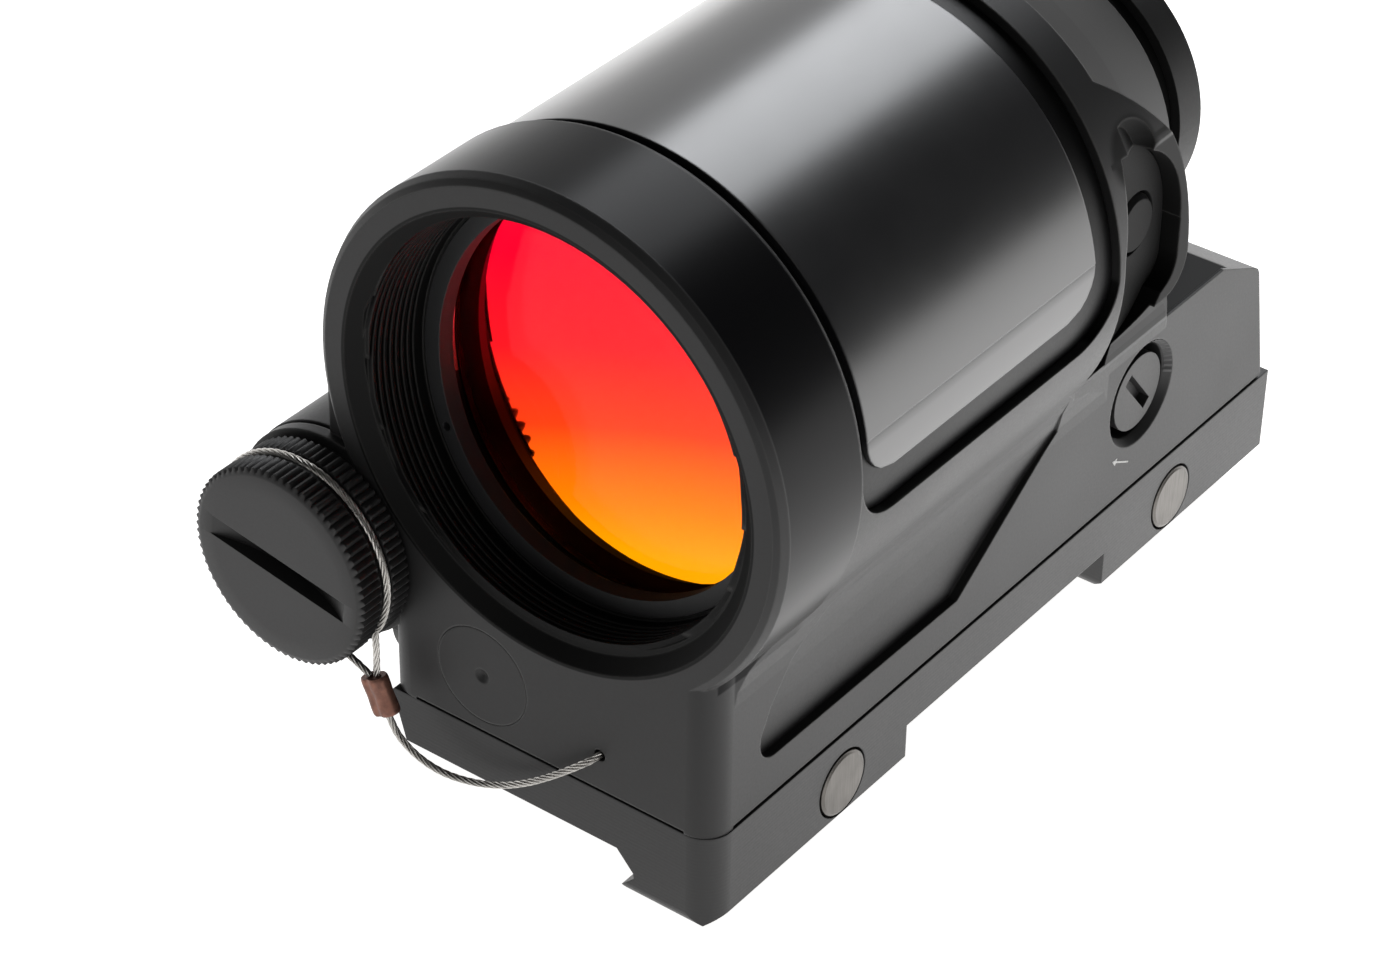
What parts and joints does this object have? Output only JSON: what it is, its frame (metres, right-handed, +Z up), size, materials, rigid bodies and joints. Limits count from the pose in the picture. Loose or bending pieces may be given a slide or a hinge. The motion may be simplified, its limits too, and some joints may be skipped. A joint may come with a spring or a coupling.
{
  "type": "rail mounted red dot reflex sight",
  "caption": "Sealed red dot sight with tilted red mirror lens, solar window over the barrel, side battery tube with tethered cap and a rail clamp base.",
  "frame": {"origin": "middle of the flat rail seat on the underside of the base", "axes": "+Y along the optical axis from the objective to the eyepiece, +Z up, +X towards the fixed jaw and the brightness button"},
  "size_m": [0.0645, 0.1076, 0.0766],
  "materials": {
    "anodised_black": "matt black anodised aluminium",
    "gloss_black": "glossy black window over the cell",
    "trap_black": "dull black, finely ridged",
    "red_coating": "red dichroic coating on glass",
    "clear_glass": "coated clear glass",
    "black_rubber": "matt",
    "cell_blue": "amorphous solar film",
    "bright_steel": "stainless",
    "blackened_steel": "blackened steel",
    "brass": "machined",
    "copper_sleeve": "copper brown, crimped",
    "board_green": "solder mask",
    "emitter_red": "clear red resin",
    "cell_steel": "plain wrapped cell"
  },
  "bodies": {
    "sight": {"housing": "anodised_black", "front_plug": "anodised_black", "lens_ring": "trap_black", "lens_front": "clear_glass", "lens_mirror": "red_coating", "lens_seal": "black_rubber", "solar_cell": "cell_blue", "solar_gasket": "black_rubber", "solar_window": "gloss_black", "eyepiece_ring": "anodised_black", "eyepiece_glass": "clear_glass", "eyepiece_seal": "black_rubber", "keypad": "black_rubber", "dome_switch": "bright_steel", "windage_seal": "black_rubber", "elevation_seal": "black_rubber", "carriage_spring": "bright_steel", "circuit_board": "board_green", "battery_tube": "anodised_black", "battery": "cell_steel", "battery_contact": "brass", "lanyard": "bright_steel", "base_plate": "anodised_black", "base_gasket": "black_rubber", "base_screws": "blackened_steel", "cross_bolts": "bright_steel"},
    "button": {"button": "black_rubber"},
    "windage": {"windage_screw": "blackened_steel"},
    "elevation": {"elevation_screw": "blackened_steel"},
    "cross_slide": {"cross_slide": "brass"},
    "emitter": {"led_carriage": "brass", "led": "emitter_red"},
    "cap_loop": {"wire_loop": "bright_steel", "ferrule": "copper_sleeve"},
    "cap": {"battery_cap": "anodised_black", "cap_seal": "black_rubber", "cap_spring": "bright_steel"},
    "clamp": {"clamp_bar": "anodised_black", "clamp_springs": "bright_steel"},
    "nut_front": {"nut_front": "anodised_black"},
    "nut_rear": {"nut_rear": "anodised_black"}
  },
  "joints": [
    {"name": "button_press", "type": "slide", "parent": "sight", "child": "button", "axis": [-1, 0, 0], "range_m": [0, 0.0006], "stiffness_N_per_m": 900, "springref_m": -0.0018},
    {"name": "windage_turn", "type": "hinge", "parent": "sight", "child": "windage", "pos_m": [0.019, 0.0228, 0.0175], "axis": [1, 0, 0], "range_deg": [-360, 360]},
    {"name": "elevation_turn", "type": "hinge", "parent": "sight", "child": "elevation", "pos_m": [-0.009, 0.0408, 0.024], "axis": [0, 0, 1], "range_deg": [-360, 360]},
    {"name": "emitter_cross", "type": "slide", "parent": "sight", "child": "cross_slide", "axis": [1, 0, 0], "range_m": [-0.0004, 0.0004]},
    {"name": "emitter_height", "type": "slide", "parent": "cross_slide", "child": "emitter", "axis": [0, 0, 1], "range_m": [-0.0004, 0.0004]},
    {"name": "cap_travel", "type": "slide", "parent": "sight", "child": "cap_loop", "axis": [0, -1, 0], "range_m": [0, 0.007]},
    {"name": "cap_turn", "type": "hinge", "parent": "cap_loop", "child": "cap", "pos_m": [-0.0266, -0.0542, 0.021], "axis": [0, -1, 0], "range_deg": [0, 2520]},
    {"name": "clamp_slide", "type": "slide", "parent": "sight", "child": "clamp", "axis": [-1, 0, 0], "range_m": [0, 0.003]},
    {"name": "nut_front_turn", "type": "hinge", "parent": "clamp", "child": "nut_front", "pos_m": [-0.027, -0.02913, -0.0001], "axis": [-1, 0, 0], "range_deg": [0, 1080]},
    {"name": "nut_rear_turn", "type": "hinge", "parent": "clamp", "child": "nut_rear", "pos_m": [-0.027, 0.03093, -0.0001], "axis": [-1, 0, 0], "range_deg": [0, 1080]}
  ],
  "couplings": [
    {"joint": "emitter_cross", "follows": "windage_turn", "m_per_rad": 0.000063662},
    {"joint": "emitter_height", "follows": "elevation_turn", "m_per_rad": 0.000063662},
    {"joint": "cap_travel", "follows": "cap_turn", "m_per_rad": 0.00015915},
    {"joint": "clamp_slide", "follows": "nut_front_turn", "m_per_rad": 0.00015915},
    {"joint": "nut_rear_turn", "follows": "nut_front_turn", "ratio": 1}
  ]
}
